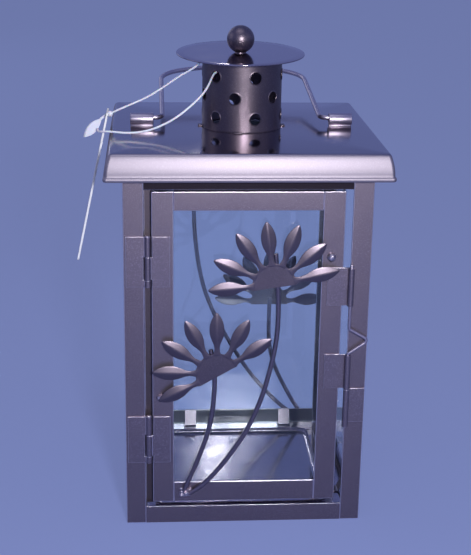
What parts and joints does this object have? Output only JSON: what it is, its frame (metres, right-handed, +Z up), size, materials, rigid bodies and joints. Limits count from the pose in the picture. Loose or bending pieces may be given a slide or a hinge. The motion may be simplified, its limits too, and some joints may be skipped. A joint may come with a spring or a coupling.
{
  "type": "candle lantern",
  "caption": "Square metal candle lantern with glass sides, hinged flower door with lift-pin latch, perforated chimney, smoke cap and folding wire bail.",
  "frame": {"origin": "middle of the base's underside, in the plane that the lantern stands on", "axes": "+X to the right of the door seen from the front, +Y to the back, +Z up"},
  "size_m": [0.1814, 0.199, 0.2914],
  "materials": {
    "frame_lacquer": "pewter satin",
    "flower_lacquer": "pewter satin",
    "lid_lacquer": "pewter gloss",
    "bright_lacquer": "pewter gloss",
    "plated_steel": "plated",
    "glass": "clear",
    "tag_card": "smooth card",
    "loop_plastic": "milky"
  },
  "bodies": {
    "lantern_frame": {"bail_bracket_left": "frame_lacquer", "bail_bracket_right": "frame_lacquer", "ball_knob": "frame_lacquer", "base_rail_back": "frame_lacquer", "base_rail_front": "frame_lacquer", "base_rail_left": "frame_lacquer", "base_rail_right": "frame_lacquer", "candle_tray": "bright_lacquer", "cap_bridge": "frame_lacquer", "cap_disc": "bright_lacquer", "cap_nut": "plated_steel", "cap_stud": "plated_steel", "chimney_tube": "frame_lacquer", "clips_back": "frame_lacquer", "clips_sides": "frame_lacquer", "door_stop": "frame_lacquer", "floor_plate": "bright_lacquer", "flower_back_lower": "flower_lacquer", "flower_back_upper": "flower_lacquer", "hinge_lower_frame_leaf": "frame_lacquer", "hinge_lower_pin": "frame_lacquer", "hinge_upper_frame_leaf": "frame_lacquer", "hinge_upper_pin": "frame_lacquer", "latch_keeper": "frame_lacquer", "lid": "lid_lacquer", "loop_lock": "loop_plastic", "loop_lower": "loop_plastic", "loop_upper": "loop_plastic", "pane_back": "glass", "pane_left": "glass", "pane_right": "glass", "post_back_left": "frame_lacquer", "post_back_right": "frame_lacquer", "post_front_left": "frame_lacquer", "post_front_right": "frame_lacquer", "stem_back_long": "flower_lacquer", "stem_back_short": "flower_lacquer", "swing_tag": "tag_card", "top_rail_back": "frame_lacquer", "top_rail_front": "frame_lacquer", "top_rail_left": "frame_lacquer", "top_rail_right": "frame_lacquer", "welds_back": "flower_lacquer"},
    "door": {"door_clips": "frame_lacquer", "door_glass": "glass", "door_rail_bottom": "frame_lacquer", "door_rail_top": "frame_lacquer", "door_stile_left": "frame_lacquer", "door_stile_right": "frame_lacquer", "hinge_lower_door_leaf": "frame_lacquer", "hinge_upper_door_leaf": "frame_lacquer", "latch_eye_lower": "frame_lacquer", "latch_eye_upper": "frame_lacquer", "flower_front_lower": "flower_lacquer", "flower_front_upper": "flower_lacquer", "stem_front_long": "flower_lacquer", "stem_front_short": "flower_lacquer", "welds_front": "flower_lacquer"},
    "latch": {"latch_pin": "frame_lacquer"},
    "bail": {"bail_handle": "frame_lacquer"}
  },
  "joints": [
    {"name": "door_swing", "type": "hinge", "parent": "lantern_frame", "child": "door", "pos_m": [-0.05715, -0.0714, 0.1], "axis": [0, 0, -1], "range_deg": [0, 120]},
    {"name": "latch_lift", "type": "slide", "parent": "door", "child": "latch", "axis": [0, 0, 1], "range_m": [0, 0.013]},
    {"name": "bail_swing", "type": "hinge", "parent": "lantern_frame", "child": "bail", "pos_m": [0, 0, 0.236], "axis": [1, 0, 0], "range_deg": [-8, 175.5], "deforming": ["loop_upper", "loop_lower"]}
  ]
}
